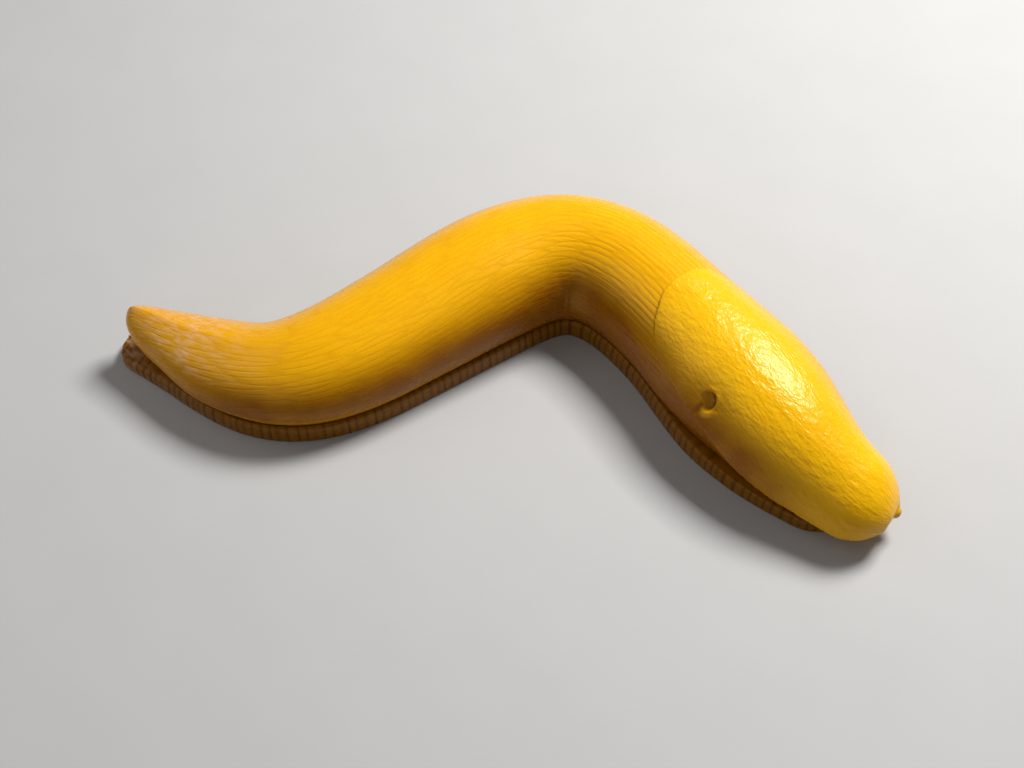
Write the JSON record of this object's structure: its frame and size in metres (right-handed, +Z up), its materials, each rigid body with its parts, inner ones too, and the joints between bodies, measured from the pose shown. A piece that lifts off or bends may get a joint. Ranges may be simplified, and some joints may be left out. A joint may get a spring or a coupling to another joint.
{
  "type": "banana slug",
  "caption": "Still life-size model of a yellow banana slug crawling in a long bend, head drawn in under its mantle, with a breathing pore, a keeled tail and a grooved foot fringe.",
  "frame": {"origin": "on the floor under the middle of the whole slug's bounding box, with the flat sole on z = 0", "axes": "+X from the tail's side to the head's side along the longest extent, +Z up; the picture looks along +Y"},
  "size_m": [0.1428, 0.0739, 0.0212],
  "materials": {
    "back_skin": "wet, glossy, furrowed skin",
    "mantle_skin": "wet, glossy, finely grained skin",
    "fringe_skin": "wet, grooved skin",
    "sole_skin": "wet, smooth skin",
    "head_skin": "wet, smooth skin"
  },
  "bodies": {
    "root": {"mantle": "mantle_skin", "breathing_pore": "mantle_skin", "head": "head_skin", "upper_tentacle_left": "head_skin", "upper_tentacle_right": "head_skin", "lower_tentacle_left": "head_skin", "lower_tentacle_right": "head_skin", "tail_back": "back_skin", "body_rear": "back_skin", "body_middle": "back_skin", "body_shoulder": "back_skin", "body_front": "back_skin", "sole_tail": "sole_skin", "sole_rear": "sole_skin", "sole_middle": "sole_skin", "sole_shoulder": "sole_skin", "sole_front": "sole_skin", "fringe_tail_left": "fringe_skin", "fringe_tail_right": "fringe_skin", "fringe_rear_left": "fringe_skin", "fringe_rear_right": "fringe_skin", "fringe_middle_left": "fringe_skin", "fringe_middle_right": "fringe_skin", "fringe_shoulder_left": "fringe_skin", "fringe_shoulder_right": "fringe_skin", "fringe_front_left": "fringe_skin", "fringe_front_right": "fringe_skin"}
  },
  "joints": []
}
